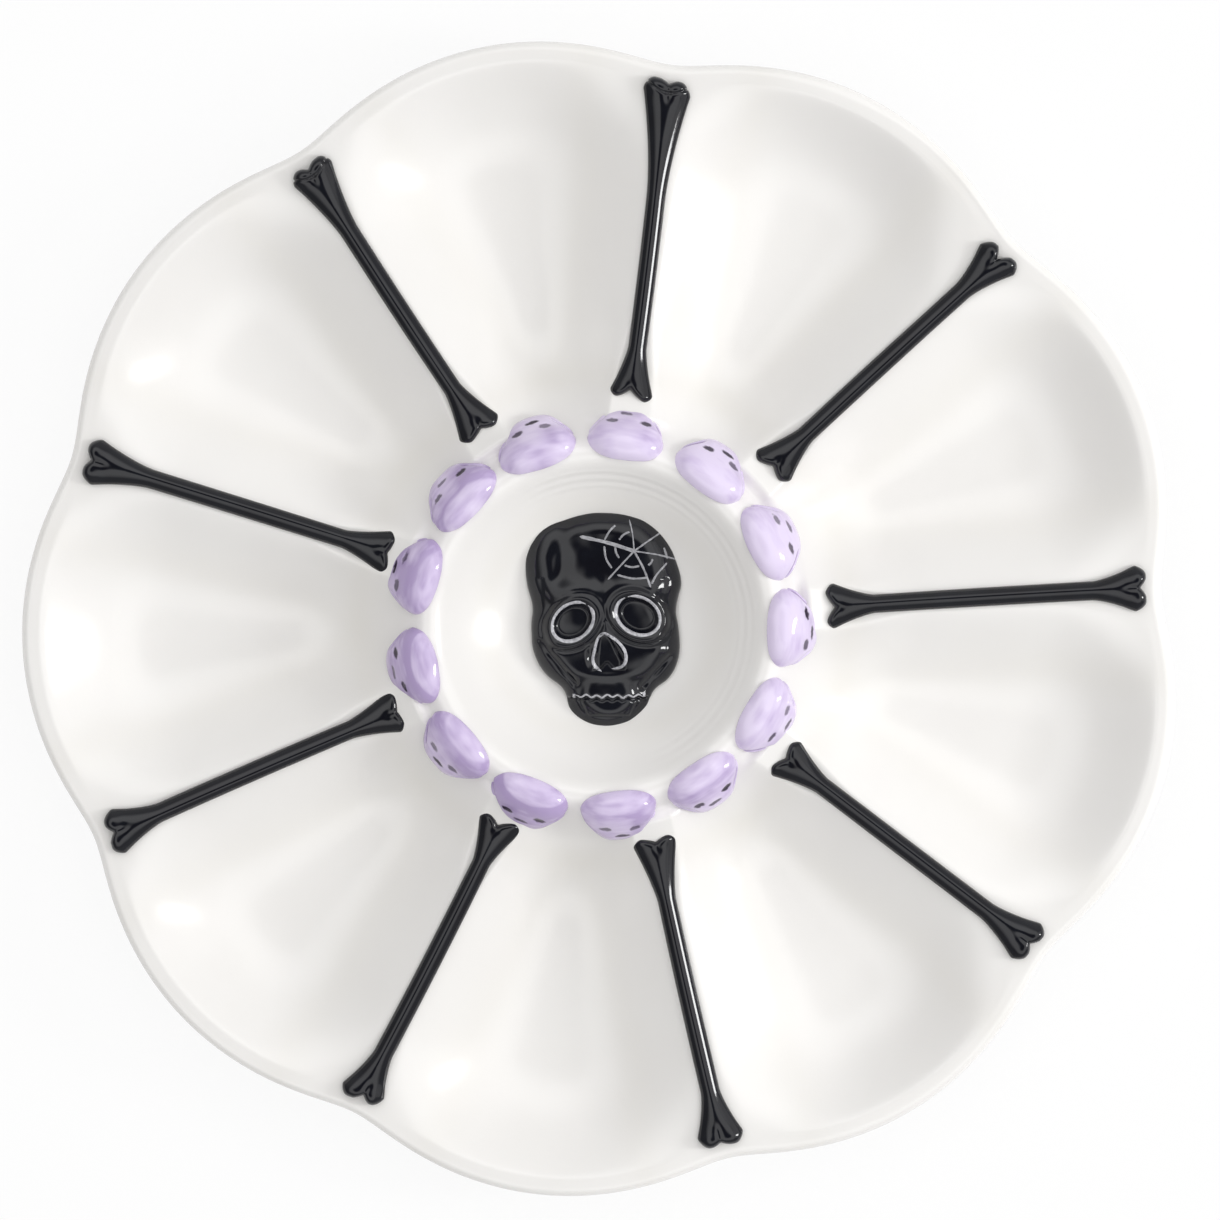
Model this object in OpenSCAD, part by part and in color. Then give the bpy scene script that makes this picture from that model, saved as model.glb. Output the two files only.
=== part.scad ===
// Round tapas plate: nine wells around a dip bowl, bones on the ridges, skulls around the bowl.
// Millimetres, +Z up, the plate's axis on Z, the table at Z = 0.

/* [Plate] */
// Diameter over two opposite lobes of the rim
plate_d = 320; // [280:1:380]
// Number of wells, with one ridge between each two
well_count = 9; // [7:1:11]
// Depth of the notch between two lobes, before it is rounded
notch_depth = 10; // [4:0.5:14]
// Angle over which a notch is rounded, to each side
notch_round = 3; // [1:0.5:5]
// Height of the rim and of the ridges above the table
rim_h = 24; // [20:0.5:36]
// Thickness of the lip at the rim
lip_t = 5; // [3:0.5:8]
// Thickness of the floor under the wells
floor_t = 5; // [3:0.5:8]
// Plan width of the outer wall of a well, from the lip to the floor
rim_run = 40; // [30:1:50]
// Plan width of the sloping side of a ridge, where the well is wide enough
ridge_run = 26; // [16:1:30]
// Direction of the first ridge in degrees
first_ridge = 3; // [0:1:39]

/* [Foot] */
// Radius of the middle of the foot ring
foot_mid_r = 86; // [75:1:95]
// Width of the foot ring
foot_w = 6; // [4:0.5:10]
// Height of the foot ring
foot_h = 4; // [2:0.5:8]

/* [Dip bowl] */
// Radius of the round joint between the dip bowl and the wells
seat_r = 60; // [54:0.5:68]
// Plan width of the collar, from the middle of the bowl's lip to the joint
collar_w = 14; // [12:0.5:18]
// Radius of the rounding of the bowl's lip
crest_r = 2.6; // [1.5:0.1:4]
// Height of the bowl's lip above the rim of the plate
crest_rise = 8; // [4:0.5:10]
// Slope of the outside of the collar in degrees
collar_slope = 50; // [42:1:56]
// Plan width over which the collar's slope runs out into a well
collar_run = 18; // [14:1:24]
// Thickness of the collar's wall
collar_t = 6; // [4:0.5:7]
// Height of the underside of the dip bowl's floor above the underside of the wells
bowl_raise = 4; // [1:0.5:5]
// Thickness of the dip bowl's floor
bowl_floor_t = 6; // [4:0.5:8]
// Rounding between the dip bowl's floor and its wall
bowl_fillet = 5; // [2:0.5:7]

/* [Bones] */
// Width over the two knuckles at an end of a bone
bone_end_w = 13; // [10:0.5:16]
// Diameter of a knuckle
knuckle_d = 7.4; // [6:0.2:9]
// Width of a bone's shaft
shaft_w = 5.6; // [4:0.2:7]
// Width of a bone's neck where it meets the knuckles
neck_w = 8.4; // [7.2:0.2:10]
// Length of the neck, from the knuckles to the plain shaft
neck_l = 15; // [8:1:22]
// Height of a bone's axis above the ridge that it lies on
bone_lift = 0.8; // [0:0.1:1.6]
// Distance from a bone's outer end to the bottom of the rim's notch
bone_margin = 4; // [3:0.5:8]
// Room between a bone's inner end and the dip bowl's joint
bone_gap = 0.4; // [0.2:0.1:2]
// Flat land left beside a bone on its ridge
land_margin = 0.7; // [0.3:0.1:1.5]

/* [Rim skulls] */
// Number of skulls around the dip bowl
skull_count = 13; // [9:1:14]
// Direction of the first skull in degrees
first_skull = -1; // [-14:1:14]
// Width of a skull's cranium
cranium_w = 21; // [16:0.2:22]
// Thickness of the cranium
cranium_d = 12; // [10:0.2:14]
// Distance of the cranium's middle down the slope from the bowl's lip
cranium_down = 3; // [2:0.1:4]
// Width of the face below the cranium
face_w = 16.4; // [12:0.2:18]
// Thickness of the face
face_d = 9; // [8:0.2:10]
// Distance of the face's middle down the slope from the bowl's lip
face_down = 9.4; // [8.5:0.1:10.5]
// Diameter of an eye socket
eye_d = 3.8; // [3:0.2:4.6]
// Distance between the two eyes
eye_gap = 8; // [6:0.2:10]
// Distance of the eyes down the slope from the bowl's lip
eye_down = 6.9; // [6:0.1:8]
// Diameter of the nose opening
nose_d = 2.4; // [1.6:0.2:3]
// Distance of the nose down the slope from the bowl's lip
nose_down = 9.4; // [8.8:0.1:10]
// Distance of the mouth down the slope from the bowl's lip
mouth_down = 11.4; // [10.8:0.1:12]
// Width of the mouth
mouth_w = 8; // [5:0.5:10]
// Height of the mouth's groove
mouth_t = 0.8; // [0.4:0.1:1.4]

/* [Centre skull] */
// Width of the large skull
big_w = 42.6; // [34:0.2:46]
// Length of the large skull, from its crown to its chin
big_l = 58.4; // [48:0.2:62]
// Height of the large skull above the bowl's floor
big_h = 8.5; // [6:0.5:12]
// Height of the large skull's edge
big_edge_h = 3; // [2:0.5:5]
// Rounding of the crown's corners
crown_r = 16; // [12:0.5:16]
// Rounding of the cheeks
cheek_r = 12; // [8:0.5:14]
// Distance from the chin up to the bottom of the cheeks
jaw_l = 11; // [8:0.5:14]
// Width of the jaw
jaw_w = 22.5; // [20:0.5:30]
// Rounding of the jaw's corners
jaw_r = 9; // [6:0.5:9.5]
// Turn of the large skull from the plate's +Y in degrees
big_turn = 4; // [-15:1:15]
// Diameter of an eye of the large skull
big_eye_d = 12.6; // [9:0.2:15]
// Distance between the eyes of the large skull
big_eye_gap = 18.4; // [15:0.2:22]
// Distance from the middle of the large skull up to its eyes
big_eye_up = 1; // [-4:0.5:6]
// Width of the nose of the large skull
big_nose_w = 9; // [6:0.5:12]
// Length of the nose of the large skull
big_nose_l = 10; // [6:0.5:13]
// Distance from the middle of the large skull down to the top of its nose
big_nose_down = 3.5; // [1:0.5:6]
// Depth of the eyes, nose and mouth of the large skull
big_carve = 1; // [0.5:0.1:2]
// Distance from the chin up to the mouth of the large skull
big_mouth_up = 8.5; // [6:0.5:11]
// Width of the groove between the large skull's jaws
big_mouth_t = 1; // [0.5:0.1:2]
// Room between the large skull and the rounding of the bowl's floor
big_margin = 0.4; // [0.2:0.1:2]

/* [Joints] */
// Slip joint between two pieces that are luted together
joint_gap = 0.1; // [0.05:0.05:0.3]

/* [Hidden] */
$fn = 64;
white_glaze = [0.95, 0.95, 0.94];
black_glaze = [0.13, 0.13, 0.15];
lilac_glaze = [0.80, 0.72, 0.88];
bare_clay = [0.88, 0.86, 0.82];

// Heights
base_z = foot_h;
well_z = base_z + floor_t;
bowl_base_z = base_z + bowl_raise;
bowl_z = bowl_base_z + bowl_floor_t;
crest_z = rim_h + crest_rise;

// Rim: each lobe is an arc about a point on the middle line of its well
half_a = 180 / well_count;
lobe_r = plate_d / 2;
cusp_r = lobe_r - notch_depth;
arc_off = (pow(lobe_r, 2) - pow(cusp_r, 2)) / (2 * (lobe_r - cusp_r * cos(half_a)));
arc_r = lobe_r - arc_off;

// Collar: middle of the lip's rounding and the point where the outer slope leaves it
crest_mid = [seat_r - collar_w, crest_z - crest_r];
slope_top = crest_mid + crest_r * [sin(collar_slope), cos(collar_slope)];
seat_top = slope_top[1] - (seat_r - slope_top[0]) * tan(collar_slope);

// Dip bowl: its flat floor holds the large skull, and its wall touches both roundings
floor_flat_r = big_l / 2 + big_margin;
fillet_mid = [floor_flat_r, bowl_z + bowl_fillet];
wall_span = crest_mid - fillet_mid;
wall_slope = atan2(wall_span[1], wall_span[0]) + asin((bowl_fillet + crest_r) / norm(wall_span));
wall_foot = fillet_mid + bowl_fillet * [sin(wall_slope), -cos(wall_slope)];
wall_top = crest_mid + crest_r * [-sin(wall_slope), cos(wall_slope)];

// Hollow under the bowl and the collar, with lines at the wall's thickness from the collar's two faces
outer_drop = collar_t / cos(collar_slope);
inner_drop = collar_t / cos(wall_slope);
hollow_peak_r = (slope_top[1] + slope_top[0] * tan(collar_slope) - outer_drop
                 - wall_top[1] + wall_top[0] * tan(wall_slope) + inner_drop)
                / (tan(collar_slope) + tan(wall_slope));
hollow_in_r = wall_top[0] + (bowl_base_z - wall_top[1] + inner_drop) / tan(wall_slope);
hollow_out_r = seat_r - collar_t;

// Bones: reach of each one, from the dip bowl's joint to the rim's notch
bore_r = seat_r + joint_gap;
bone_in = bore_r + bone_gap;
bone_out = rim_r(half_a) - bone_margin;
bone_l = bone_out - bone_in;

// Shapes of the walls: how sharply each one turns at its top and at its foot
ridge_shape = [1.5, 2.2];
rim_shape = [1.3, 3.4];
collar_shape = [1, tan(collar_slope) * collar_run / (seat_top - well_z)];

// Grid of the dish: steps across a ridge's side, out along a well and back under the wall
side_steps = 7;
side_spread = 1.45;
out_steps = [0, 0.08, 0.17, 0.28, 0.39, 0.5, 0.6, 0.7, 0.79, 0.87, 0.94, 1];
lip_turns = [90, 60, 30, 0];
under_steps = [0.06, 0.14, 0.24, 0.36, 0.5, 0.7, 1];
settle_steps = 6;

// Height of a wall from 1 at its top to 0 at its foot, at a share t of its run
function wall(t, shape) = t <= 0 ? 1 : t >= 1 ? 0 : pow(1 - pow(t, shape[0]), shape[1]);

// Radius of the rim at an angle from the middle line of a well, with its notches rounded
function rounded_a(a) =
    half_a - norm([half_a - abs(a), notch_round]) * half_a / norm([half_a, notch_round]);
function rim_r(a) =
    arc_off * cos(rounded_a(a)) + sqrt(pow(arc_r, 2) - pow(arc_off * sin(rounded_a(a)), 2));

// Half width of a ridge's flat land, which follows the outline of its bone
function eased(t) = t <= 0 ? 0 : t >= 1 ? 1 : t * t * (3 - 2 * t);
function end_share(x) = 1 - eased((x - knuckle_d) / (neck_l - knuckle_d));
function land(r) = land_margin
    + lerp(shaft_w / 2, bone_end_w / 2, max(end_share(r - bone_in), end_share(bone_out - r)));
function lerp(a, b, t) = a + (b - a) * t;

// Columns of the grid, counted from a ridge's middle line: distance from it and angle to it
function side_d(j, r) = j == 0 ? 0
    : lerp(land(r), r * sin(half_a), pow((j - 1) / side_steps, side_spread));
function side_a(j, r) = asin(side_d(j, r) / r);

// Width of a ridge's sloping side, which ends at the middle line of a narrow well
function side_run(r) = min(ridge_run, r * sin(half_a) - land(r));

// Radius at which a column meets the rim
function column_r(j, r, steps) =
    steps == 0 ? r : column_r(j, rim_r(half_a - side_a(j, r)), steps - 1);

// Height of the dish's upper side and of its underside
function top_z(j, r) =
    let (ridge = wall((side_d(j, r) - land(r)) / side_run(r), ridge_shape),
         rim = wall((rim_r(half_a - side_a(j, r)) - r - lip_t) / rim_run, rim_shape),
         collar = wall((r - bore_r) / collar_run, collar_shape)
                  * (seat_top - well_z) / (rim_h - well_z))
    lerp(well_z, rim_h, 1 - (1 - ridge) * (1 - rim) * (1 - collar));
function under_z(t) = lerp(base_z, rim_h - lip_t / 2, wall(t, rim_shape));

// Section of the dish along one column, as radius and height
function section(j) =
    let (end_r = column_r(j, lobe_r, settle_steps),
         lip_mid = [end_r - lip_t / 2, rim_h - lip_t / 2])
    concat(
        [for (t = out_steps) let (r = lerp(bore_r, end_r - lip_t, t)) [r, top_z(j, r)]],
        [for (a = lip_turns) lip_mid + lip_t / 2 * [cos(a), sin(a)]],
        [for (t = under_steps) [end_r - t * rim_run, under_z(t)]],
        [[bore_r, base_z]]);

// The dish with its wells and ridges
module plate_body() {
    sections = [for (j = [0:side_steps + 1]) section(j)];
    rows = len(sections[0]);
    sides = [for (j = [-side_steps:side_steps + 1]) j];
    columns = well_count * len(sides);
    points = [
        for (k = [0:well_count - 1], j = sides, p = sections[abs(j)])
            let (a = first_ridge + 2 * half_a * k + sign(j) * side_a(abs(j), p[0]))
            [p[0] * cos(a), p[0] * sin(a), p[1]]
    ];
    faces = [
        for (c = [0:columns - 1], m = [0:rows - 1])
            let (d = (c + 1) % columns,
                 n = (m + 1) % rows,
                 corners = [c * rows + m, d * rows + m, d * rows + n, c * rows + n])
            for (half = [[0, 1, 2], [0, 2, 3]]) [for (i = half) corners[i]]
    ];
    color(white_glaze) polyhedron(points, faces);
}

// Outline of the collar, grown by a gap: its slope, its rounded lip and the wall of the bowl
module collar_outline(gap) {
    out = gap * [sin(collar_slope), cos(collar_slope)];
    in = gap * [-sin(wall_slope), cos(wall_slope)];
    polygon([
        [0, base_z],
        [seat_r, base_z],
        [seat_r, seat_top] + out,
        slope_top + out,
        crest_mid,
        wall_top + in,
        wall_foot + in,
        [0, bowl_z]
    ]);
    translate(crest_mid) circle(crest_r + gap);
}

// The dip bowl with its collar, hollow underneath
module dip_bowl() {
    color(white_glaze) rotate_extrude() difference() {
        collar_outline(0);
        translate(fillet_mid) circle(bowl_fillet);
        polygon([
            [0, base_z],
            [0, bowl_base_z],
            [hollow_in_r, bowl_base_z],
            [hollow_peak_r, wall_top[1] + (hollow_peak_r - wall_top[0]) * tan(wall_slope) - inner_drop],
            [hollow_out_r, seat_top + collar_t * tan(collar_slope) - outer_drop],
            [hollow_out_r, base_z]
        ]);
    }
}

// The foot that the plate stands on
module foot_ring() {
    color(bare_clay) rotate_extrude()
        translate([foot_mid_r - foot_w / 2, 0]) square([foot_w, foot_h - joint_gap]);
}

// One end of a bone, with its tip at the origin and the shaft towards +X
module bone_end() {
    knuckle_r = knuckle_d / 2;
    for (side = [-1, 1])
        translate([knuckle_r, side * (bone_end_w / 2 - knuckle_r), 0]) sphere(knuckle_r);
    translate([knuckle_r, 0, 0]) rotate([0, 90, 0])
        cylinder(h = neck_l - knuckle_r, d1 = neck_w, d2 = shaft_w);
}

// One bone, lying on its ridge along +X
module bone() {
    intersection() {
        translate([bone_in, 0, bone_lift]) {
            bone_end();
            translate([bone_l, 0, 0]) mirror([1, 0, 0]) bone_end();
            translate([neck_l / 2, 0, 0]) rotate([0, 90, 0])
                cylinder(h = bone_l - neck_l, d = shaft_w);
        }
        translate([bone_in - knuckle_d, -bone_end_w, 0])
            cube([bone_l + 2 * knuckle_d, 2 * bone_end_w, bone_end_w]);
    }
}

module divider_bone(i) {
    color(black_glaze) rotate(first_ridge + 2 * half_a * (i - 1))
        translate([0, 0, rim_h + joint_gap]) bone();
}

// Pod with round ends: a bar across the slope, as wide and as thick as stated
module pod(width, d) {
    reach = (width - d) / 2;
    for (side = [-1, 1]) translate([0, side * reach, 0]) sphere(d = d);
    translate([0, -reach, 0]) rotate([-90, 0, 0]) cylinder(h = 2 * reach, d = d);
}

// Height of a pod above its middle, at a distance down the slope from it and to one side
function pod_top(down, side, width, d) =
    sqrt(max(0, pow(d / 2, 2) - pow(down, 2) - pow(max(0, abs(side) - (width - d) / 2), 2)));
function skull_top(down, side) = max(pod_top(down - cranium_down, side, cranium_w, cranium_d),
                                     pod_top(down - face_down, side, face_w, face_d));

// One small skull in the slope's own frame: +X down the slope, +Z out of it
module skull_form() {
    difference() {
        union() {
            translate([cranium_down, 0, 0]) pod(cranium_w, cranium_d);
            translate([face_down, 0, 0]) pod(face_w, face_d);
        }
        for (side = [-1, 1])
            translate([eye_down, side * eye_gap / 2, skull_top(eye_down, eye_gap / 2)]) sphere(d = eye_d);
        translate([nose_down, 0, skull_top(nose_down, 0)]) sphere(d = nose_d);
        translate([mouth_down, -mouth_w / 2, skull_top(mouth_down, 0) - mouth_t])
            cube([mouth_t, mouth_w, face_d]);
    }
}

module rim_skull(i) {
    color(lilac_glaze) rotate(first_skull + 360 / skull_count * (i - 1)) difference() {
        intersection() {
            translate([slope_top[0], 0, slope_top[1]]) rotate([0, collar_slope, 0]) skull_form();
            translate([0, 0, base_z]) cylinder(h = 2 * crest_z, r = seat_r - joint_gap);
        }
        rotate_extrude() collar_outline(joint_gap);
    }
}

// Outline of the large skull, with its crown towards +Y
module big_outline() {
    crown_y = big_l / 2 - crown_r;
    cheek_y = -big_l / 2 + jaw_l + cheek_r;
    jaw_y = -big_l / 2 + jaw_r;
    translate([crown_r - big_w / 2, crown_y]) square([big_w - 2 * crown_r, crown_r]);
    translate([-big_w / 2, cheek_y]) square([big_w, crown_y - cheek_y]);
    translate([cheek_r - big_w / 2, cheek_y - cheek_r]) square([big_w - 2 * cheek_r, cheek_r]);
    translate([-jaw_w / 2, jaw_y]) square([jaw_w, cheek_y - jaw_y]);
    translate([jaw_r - jaw_w / 2, -big_l / 2]) square([jaw_w - 2 * jaw_r, jaw_r]);
    for (side = [-1, 1]) {
        translate([side * (big_w / 2 - crown_r), crown_y]) circle(crown_r);
        translate([side * (big_w / 2 - cheek_r), cheek_y]) circle(cheek_r);
        translate([side * (jaw_w / 2 - jaw_r), jaw_y]) circle(jaw_r);
    }
}

// The large skull on the dip bowl's floor
module centre_skull() {
    rise = big_h - big_edge_h;
    dome_r = (pow(big_l / 2, 2) + pow(rise, 2)) / (2 * rise);
    eye_r = (pow(big_eye_d / 2, 2) + pow(big_carve, 2)) / (2 * big_carve);
    function dome_z(x, y) = big_h - dome_r + sqrt(pow(dome_r, 2) - x * x - y * y);
    color(black_glaze) translate([0, 0, bowl_z + joint_gap]) rotate(big_turn) difference() {
        intersection() {
            linear_extrude(big_h) big_outline();
            translate([0, 0, big_h - dome_r]) sphere(dome_r);
        }
        for (side = [-1, 1]) {
            x = side * big_eye_gap / 2;
            translate([x, big_eye_up, dome_z(x, big_eye_up) - big_carve + eye_r]) sphere(eye_r);
        }
        translate([0, -big_nose_down, dome_z(0, big_nose_down + big_nose_l) - big_carve])
            linear_extrude(big_h)
                polygon([[0, 0], [-big_nose_w / 2, -big_nose_l], [big_nose_w / 2, -big_nose_l]]);
        translate([-jaw_w, big_mouth_up - big_l / 2, dome_z(0, big_l / 2 - big_mouth_up) - big_carve])
            cube([2 * jaw_w, big_mouth_t, big_h]);
    }
}

function bone_name(i) = str("divider_bone_", i);
function skull_name(i) = str("rim_skull_", i < 10 ? "0" : "", i);

plate_body();
dip_bowl();
foot_ring();
for (i = [1:well_count]) divider_bone(i);
for (i = [1:skull_count]) rim_skull(i);
centre_skull();
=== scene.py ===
"""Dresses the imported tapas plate: a white glazed dish, black bones, lilac skulls and a painted skull."""

import math

import bpy
import numpy as np
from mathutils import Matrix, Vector


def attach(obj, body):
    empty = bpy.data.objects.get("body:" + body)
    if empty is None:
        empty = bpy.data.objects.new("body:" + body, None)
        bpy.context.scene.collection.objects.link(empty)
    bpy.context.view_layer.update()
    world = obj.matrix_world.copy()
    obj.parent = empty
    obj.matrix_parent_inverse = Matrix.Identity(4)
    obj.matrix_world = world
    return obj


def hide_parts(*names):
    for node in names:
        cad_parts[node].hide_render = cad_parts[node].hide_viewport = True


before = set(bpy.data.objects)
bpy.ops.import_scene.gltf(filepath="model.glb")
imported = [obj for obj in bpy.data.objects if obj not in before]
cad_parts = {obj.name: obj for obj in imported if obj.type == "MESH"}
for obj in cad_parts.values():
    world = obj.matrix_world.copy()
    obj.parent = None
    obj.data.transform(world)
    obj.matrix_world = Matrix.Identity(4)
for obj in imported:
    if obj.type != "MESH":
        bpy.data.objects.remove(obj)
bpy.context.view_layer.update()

MM = 0.001

# Sizes of the dish in millimetres, as in the part's source
PLATE_D = 320.0
WELLS = 9
NOTCH_DEPTH = 10.0
NOTCH_ROUND = 3.0
RIM_H = 24.0
BASE_Z = 4.0
WELL_Z = 9.0
LIP_T = 5.0
RIM_RUN = 40.0
FIRST_RIDGE = 3.0
RIM_SHAPE = (1.3, 3.4)

# Ridges, which fade out more softly than in the part's source
RIDGE_RUN = 45.0
RIDGE_TOP = 1.4
RIDGE_FEET = (2.2, 3.0)
FEET_EASE = (16.0, 44.0)

# Sizes of the dip bowl, whose floor is rounder than in the part's source, and of the foot
SEAT_R = 60.0
COLLAR_W = 14.0
CREST_R = 2.6
CREST_Z = 32.0
COLLAR_SLOPE = math.radians(50.0)
COLLAR_T = 6.0
BOWL_BASE_Z = 8.0
BOWL_Z = 14.0
BOWL_FLAT_R = 24.0
BOWL_FILLET = 9.0
FOOT_MID_R = 86.0
FOOT_W = 6.0

# Reach of a bone: where it starts, and how far it stays from the rim's notch
BONE_IN = 60.5
BONE_MARGIN = 4.0

# Skulls around the bowl, and how far the bowl's ring sits from the plate's axis
SKULLS = 13
FIRST_SKULL = -1.25
RING_SHIFT = np.array([-1.2, -1.0])
SHIFT_FADE = (62.0, 80.0)

# Photograph: its width and the plate's middle in pixels, the length of a pixel, and the camera
IMAGE_PX = 1220
MIDDLE_PX = (604.5, 620.0)
MM_PER_PX = 0.274
CAMERA_DISTANCE = 1400.0
CAMERA_TILT = math.radians(3.0)

HALF_A = 180.0 / WELLS
LOBE_R = PLATE_D / 2
CUSP_R = LOBE_R - NOTCH_DEPTH
ARC_OFF = (LOBE_R**2 - CUSP_R**2) / (2 * (LOBE_R - CUSP_R * math.cos(math.radians(HALF_A))))
ARC_R = LOBE_R - ARC_OFF


# Numbers on arrays

def eased(t):
    t = np.clip(t, 0, 1)
    return t * t * (3 - 2 * t)


def past(x, span):
    """0 before a span, 1 past it, and an eased share of it between."""
    return eased((x - span[0]) / (span[1] - span[0]))


def between(ends, t):
    return ends[0] + (ends[1] - ends[0]) * t


def smooth_max(a, b, k):
    h = np.clip(k - np.abs(a - b), 0, None) / k
    return np.maximum(a, b) + h * h * k / 4


def smooth_min(a, b, k):
    return -smooth_max(-a, -b, k)


PRIMES = (73856093, 19349663, 83492791)
SEED_PRIME = 2654435
MIXERS = (1274126177, 668265263)
LARGEST = 0x7FFFFFFF
OCTAVE_SEED = 17


def lattice(cell, seed):
    """A fixed number between 0 and 1 for each whole point."""
    c = cell.astype(np.int64)
    n = c[..., 0] * PRIMES[0] ^ c[..., 1] * PRIMES[1] ^ c[..., 2] * PRIMES[2] ^ (seed * SEED_PRIME)
    n = (n ^ (n >> 13)) * MIXERS[0] & LARGEST
    n = (n ^ (n >> 16)) * MIXERS[1] & LARGEST
    return n / float(LARGEST)


def noise(p, seed):
    """Smooth noise between 0 and 1, with lumps one unit across."""
    cell = np.floor(p)
    f = eased(p - cell)
    total = 0.0
    for corner in np.ndindex(2, 2, 2):
        weight = 1.0
        for axis in range(3):
            weight = weight * (f[..., axis] if corner[axis] else 1 - f[..., axis])
        total = total + weight * lattice(cell + np.array(corner), seed)
    return total


def layered(p, seed, octaves=3):
    """Noise with finer and weaker noise on top."""
    total, gain, span = 0.0, 1.0, 0.0
    for i in range(octaves):
        total = total + gain * noise(p * 2**i, seed + OCTAVE_SEED * i)
        span += gain
        gain *= 0.5
    return total / span


def plane(x, y):
    return np.stack(np.broadcast_arrays(x, y, 0.0), -1).astype(float)


# Meshes

def make_mesh(name, points, faces, material, marks=None):
    """A smooth mesh object from points in millimetres and arrays of faces, with marks on its points."""
    mesh = bpy.data.meshes.new(name)
    mesh.vertices.add(len(points))
    mesh.vertices.foreach_set("co", np.ascontiguousarray(points * MM, np.float32).ravel())
    corners = np.concatenate([f.ravel() for f in faces]).astype(np.int32)
    sizes = np.concatenate([np.full(len(f), f.shape[1]) for f in faces])
    mesh.loops.add(len(corners))
    mesh.loops.foreach_set("vertex_index", corners)
    mesh.polygons.add(len(sizes))
    mesh.polygons.foreach_set("loop_start", np.concatenate([[0], np.cumsum(sizes)[:-1]]).astype(np.int32))
    mesh.update(calc_edges=True)
    mesh.validate()
    mesh.polygons.foreach_set("use_smooth", np.ones(len(mesh.polygons), bool))
    for mark, values in (marks or {}).items():
        layer = mesh.attributes.new(mark, "FLOAT", "POINT")
        layer.data.foreach_set("value", np.ascontiguousarray(values, np.float32))
    mesh.materials.append(material)
    piece = bpy.data.objects.new(name, mesh)
    bpy.context.scene.collection.objects.link(piece)
    return piece


def ring_faces(rows, columns):
    """Quads between rows of points that close around the axis."""
    c = np.arange(columns)
    d = (c + 1) % columns
    starts = columns * np.arange(rows)
    return np.concatenate([np.stack([b + c, b + d, a + d, a + c], -1) for a, b in zip(starts, starts[1:])])


# Grid of the sculpted pieces: its step in millimetres, how coarse it starts, and how points settle
STEP = 0.3
COARSE = 4
NEAR = 1.6
SETTLE_TURNS = 2
NUDGE = 0.1
LEAST_SLOPE = 0.2


def near_surface(field, low, counts, step):
    """Values of a field on a grid: exact near the surface, and only of the right sign away from it."""
    wide = [n // COARSE + 2 for n in counts]
    axes = [low[i] + step * COARSE * np.arange(wide[i]) for i in range(3)]
    rough = field(np.stack(np.meshgrid(*axes, indexing="ij"), -1))
    nearest = [np.minimum((np.arange(counts[i]) + COARSE // 2) // COARSE, wide[i] - 1) for i in range(3)]
    values = rough[np.ix_(*nearest)]
    close = np.argwhere(np.abs(values) < NEAR * step * COARSE)
    values[tuple(close.T)] = field(low + step * close)
    return values


def sculpt(field, low, high, step=STEP):
    """Points and quads of the surface where a field is zero; the field is below zero inside."""
    low = np.array(low, float)
    counts = [int(math.ceil((high[i] - low[i]) / step)) + 1 for i in range(3)]
    values = near_surface(field, low, counts, step)
    cells = np.array(counts) - 1
    total = np.zeros((3, cells.prod()))
    hits = np.zeros(cells.prod())
    quads = []
    for axis in range(3):
        a = np.take(values, range(counts[axis] - 1), axis)
        b = np.take(values, range(1, counts[axis]), axis)
        crossing = (a < 0) != (b < 0)
        edge = np.argwhere(crossing)
        place = edge.astype(float)
        place[:, axis] += a[crossing] / (a[crossing] - b[crossing])
        u, v = (axis + 1) % 3, (axis + 2) % 3
        around = []
        for du, dv in ((1, 1), (0, 1), (0, 0), (1, 0)):
            cell = edge.copy()
            cell[:, u] -= du
            cell[:, v] -= dv
            flat = np.ravel_multi_index(tuple(np.clip(cell.T, 0, cells[:, None] - 1)), cells)
            for i in range(3):
                total[i] += np.bincount(flat, place[:, i], cells.prod())
            hits += np.bincount(flat, minlength=cells.prod())
            around.append(flat)
        quad = np.stack(around, -1)
        outward = (a[crossing] < 0)[:, None]
        quads.append(np.where(outward, quad, quad[:, ::-1]))
    used = hits > 0
    number = np.cumsum(used) - 1
    points = low + step * (total[:, used] / hits[used]).T
    nudge = step * NUDGE
    for _ in range(SETTLE_TURNS):
        value = field(points)
        slope = np.stack([field(points + nudge * way) for way in np.eye(3)], -1)
        slope = (slope - value[:, None]) / nudge
        steep = np.clip((slope**2).sum(-1, keepdims=True), LEAST_SLOPE, None)
        move = value[:, None] * slope / steep
        points = points - np.clip(move, -step, step)
    return points, number[np.concatenate(quads)]


def rotated(x, y, angle):
    """A place in plan, turned about the axis by an angle in degrees."""
    c, s = math.cos(math.radians(angle)), math.sin(math.radians(angle))
    return c * x - s * y, s * x + c * y


def turned(points, angle):
    x, y, z = points.T
    return np.stack([*rotated(x, y, angle), z], -1)


# Materials

def join(source, target):
    """Links the output of one node to the input of another."""
    target.id_data.links.new(source, target)


def after(source, kind, name):
    """A new node that takes the output of another at a named input."""
    node = source.id_data.nodes.new("ShaderNode" + kind)
    join(source, node.inputs[name])
    return node


def set_inputs(node, values):
    for name, value in values.items():
        node.inputs[name].default_value = value


def new_material(name):
    material = bpy.data.materials.new(name)
    material.use_nodes = True
    nodes = material.node_tree.nodes
    return material, nodes, nodes["Principled BSDF"]


def noise_texture(coords, scale, detail, rough=0.5):
    node = after(coords, "TexNoise", "Vector")
    set_inputs(node, {"Scale": scale, "Detail": detail, "Roughness": rough})
    return node.outputs["Fac"]


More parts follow.
